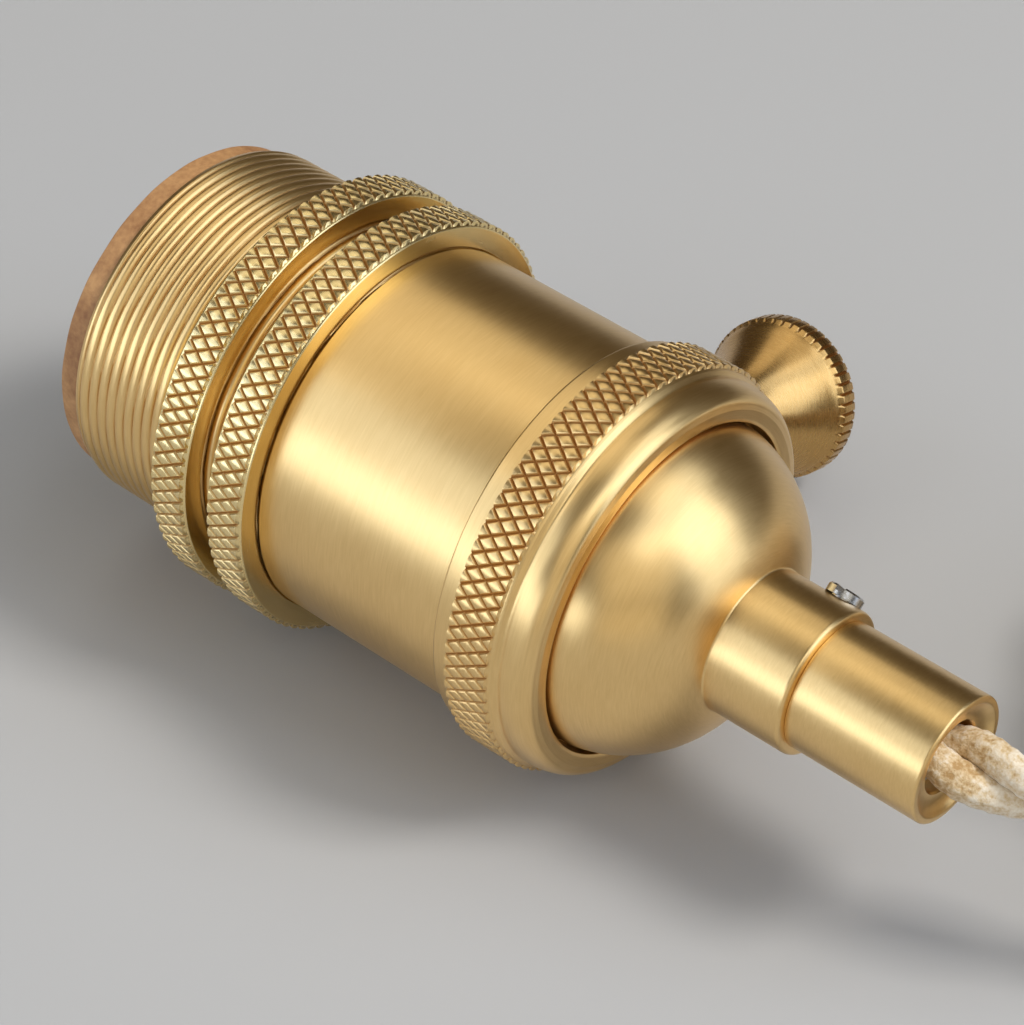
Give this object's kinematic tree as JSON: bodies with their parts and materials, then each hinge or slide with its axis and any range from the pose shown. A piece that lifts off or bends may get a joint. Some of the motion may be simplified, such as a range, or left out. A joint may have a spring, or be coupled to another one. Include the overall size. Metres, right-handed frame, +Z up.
{
  "type": "lamp holder",
  "caption": "Switched pendant lamp holder in satin brass: threaded skirt with knurled shade rings, cap ring, domed cap, cord grip, side turn knob and twisted fabric cord.",
  "frame": {"origin": "on the lamp axis at the rim of the threaded skirt", "axes": "+X along the lamp axis from the mouth to the cord, +Z up as it lies, the switch knob on the +Y side"},
  "size_m": [0.1665, 0.1094, 0.0464],
  "materials": {
    "shell_brass": "satin, brushed round the axis",
    "ring_brass": "satin, knurled",
    "dome_brass": "satin, brushed round the axis",
    "knob_brass": "satin, slightly darker",
    "contact_brass": "bright drawn sheet",
    "spring_brass": "rolled spring sheet",
    "nickel": "nickel plated",
    "steel": "turned",
    "pressed_fibre": "brown pressed fibre",
    "porcelain": "white glazed porcelain",
    "nylon": "natural nylon",
    "core_sleeve": "cream insulation",
    "cord_fabric": "braided cream and gold cotton",
    "copper": "bare stranded copper"
  },
  "bodies": {
    "holder": {"body_shell": "shell_brass", "fibre_liner": "pressed_fibre", "cap_ring": "shell_brass", "dome_cap": "dome_brass", "neck_set_screw": "nickel", "cord_grip": "dome_brass", "grip_collet": "nylon", "insulator_body": "porcelain", "screw_shell": "contact_brass", "shell_screws": "nickel", "centre_contact": "spring_brass", "tongue_screw": "nickel", "contact_leaf_line": "spring_brass", "contact_leaf_lamp": "spring_brass", "spindle_bush": "contact_brass", "bush_nut": "ring_brass", "terminal_live": "contact_brass", "terminal_neutral": "contact_brass", "terminal_screws": "nickel", "core_live": "core_sleeve", "core_neutral": "core_sleeve", "cord": "cord_fabric", "cord_coil": "cord_fabric", "core_tips": "core_sleeve", "bare_tips": "copper"},
    "switch": {"switch_knob": "knob_brass", "knob_grub_screw": "nickel", "switch_spindle": "steel", "switch_rotor": "porcelain"},
    "ring_front": {"shade_ring_front": "ring_brass"},
    "ring_rear": {"shade_ring_rear": "ring_brass"}
  },
  "joints": [
    {"name": "knob_turn", "type": "hinge", "parent": "holder", "child": "switch", "pos_m": [0.04339, 0, 0], "axis": [0, 0.9514, -0.3078], "continuous": true},
    {"name": "ring_front_travel", "type": "slide", "parent": "holder", "child": "ring_front", "axis": [1, 0, 0], "range_m": [-0.0133, 0]},
    {"name": "ring_rear_travel", "type": "slide", "parent": "holder", "child": "ring_rear", "axis": [1, 0, 0], "range_m": [-0.0023, 0]}
  ]
}
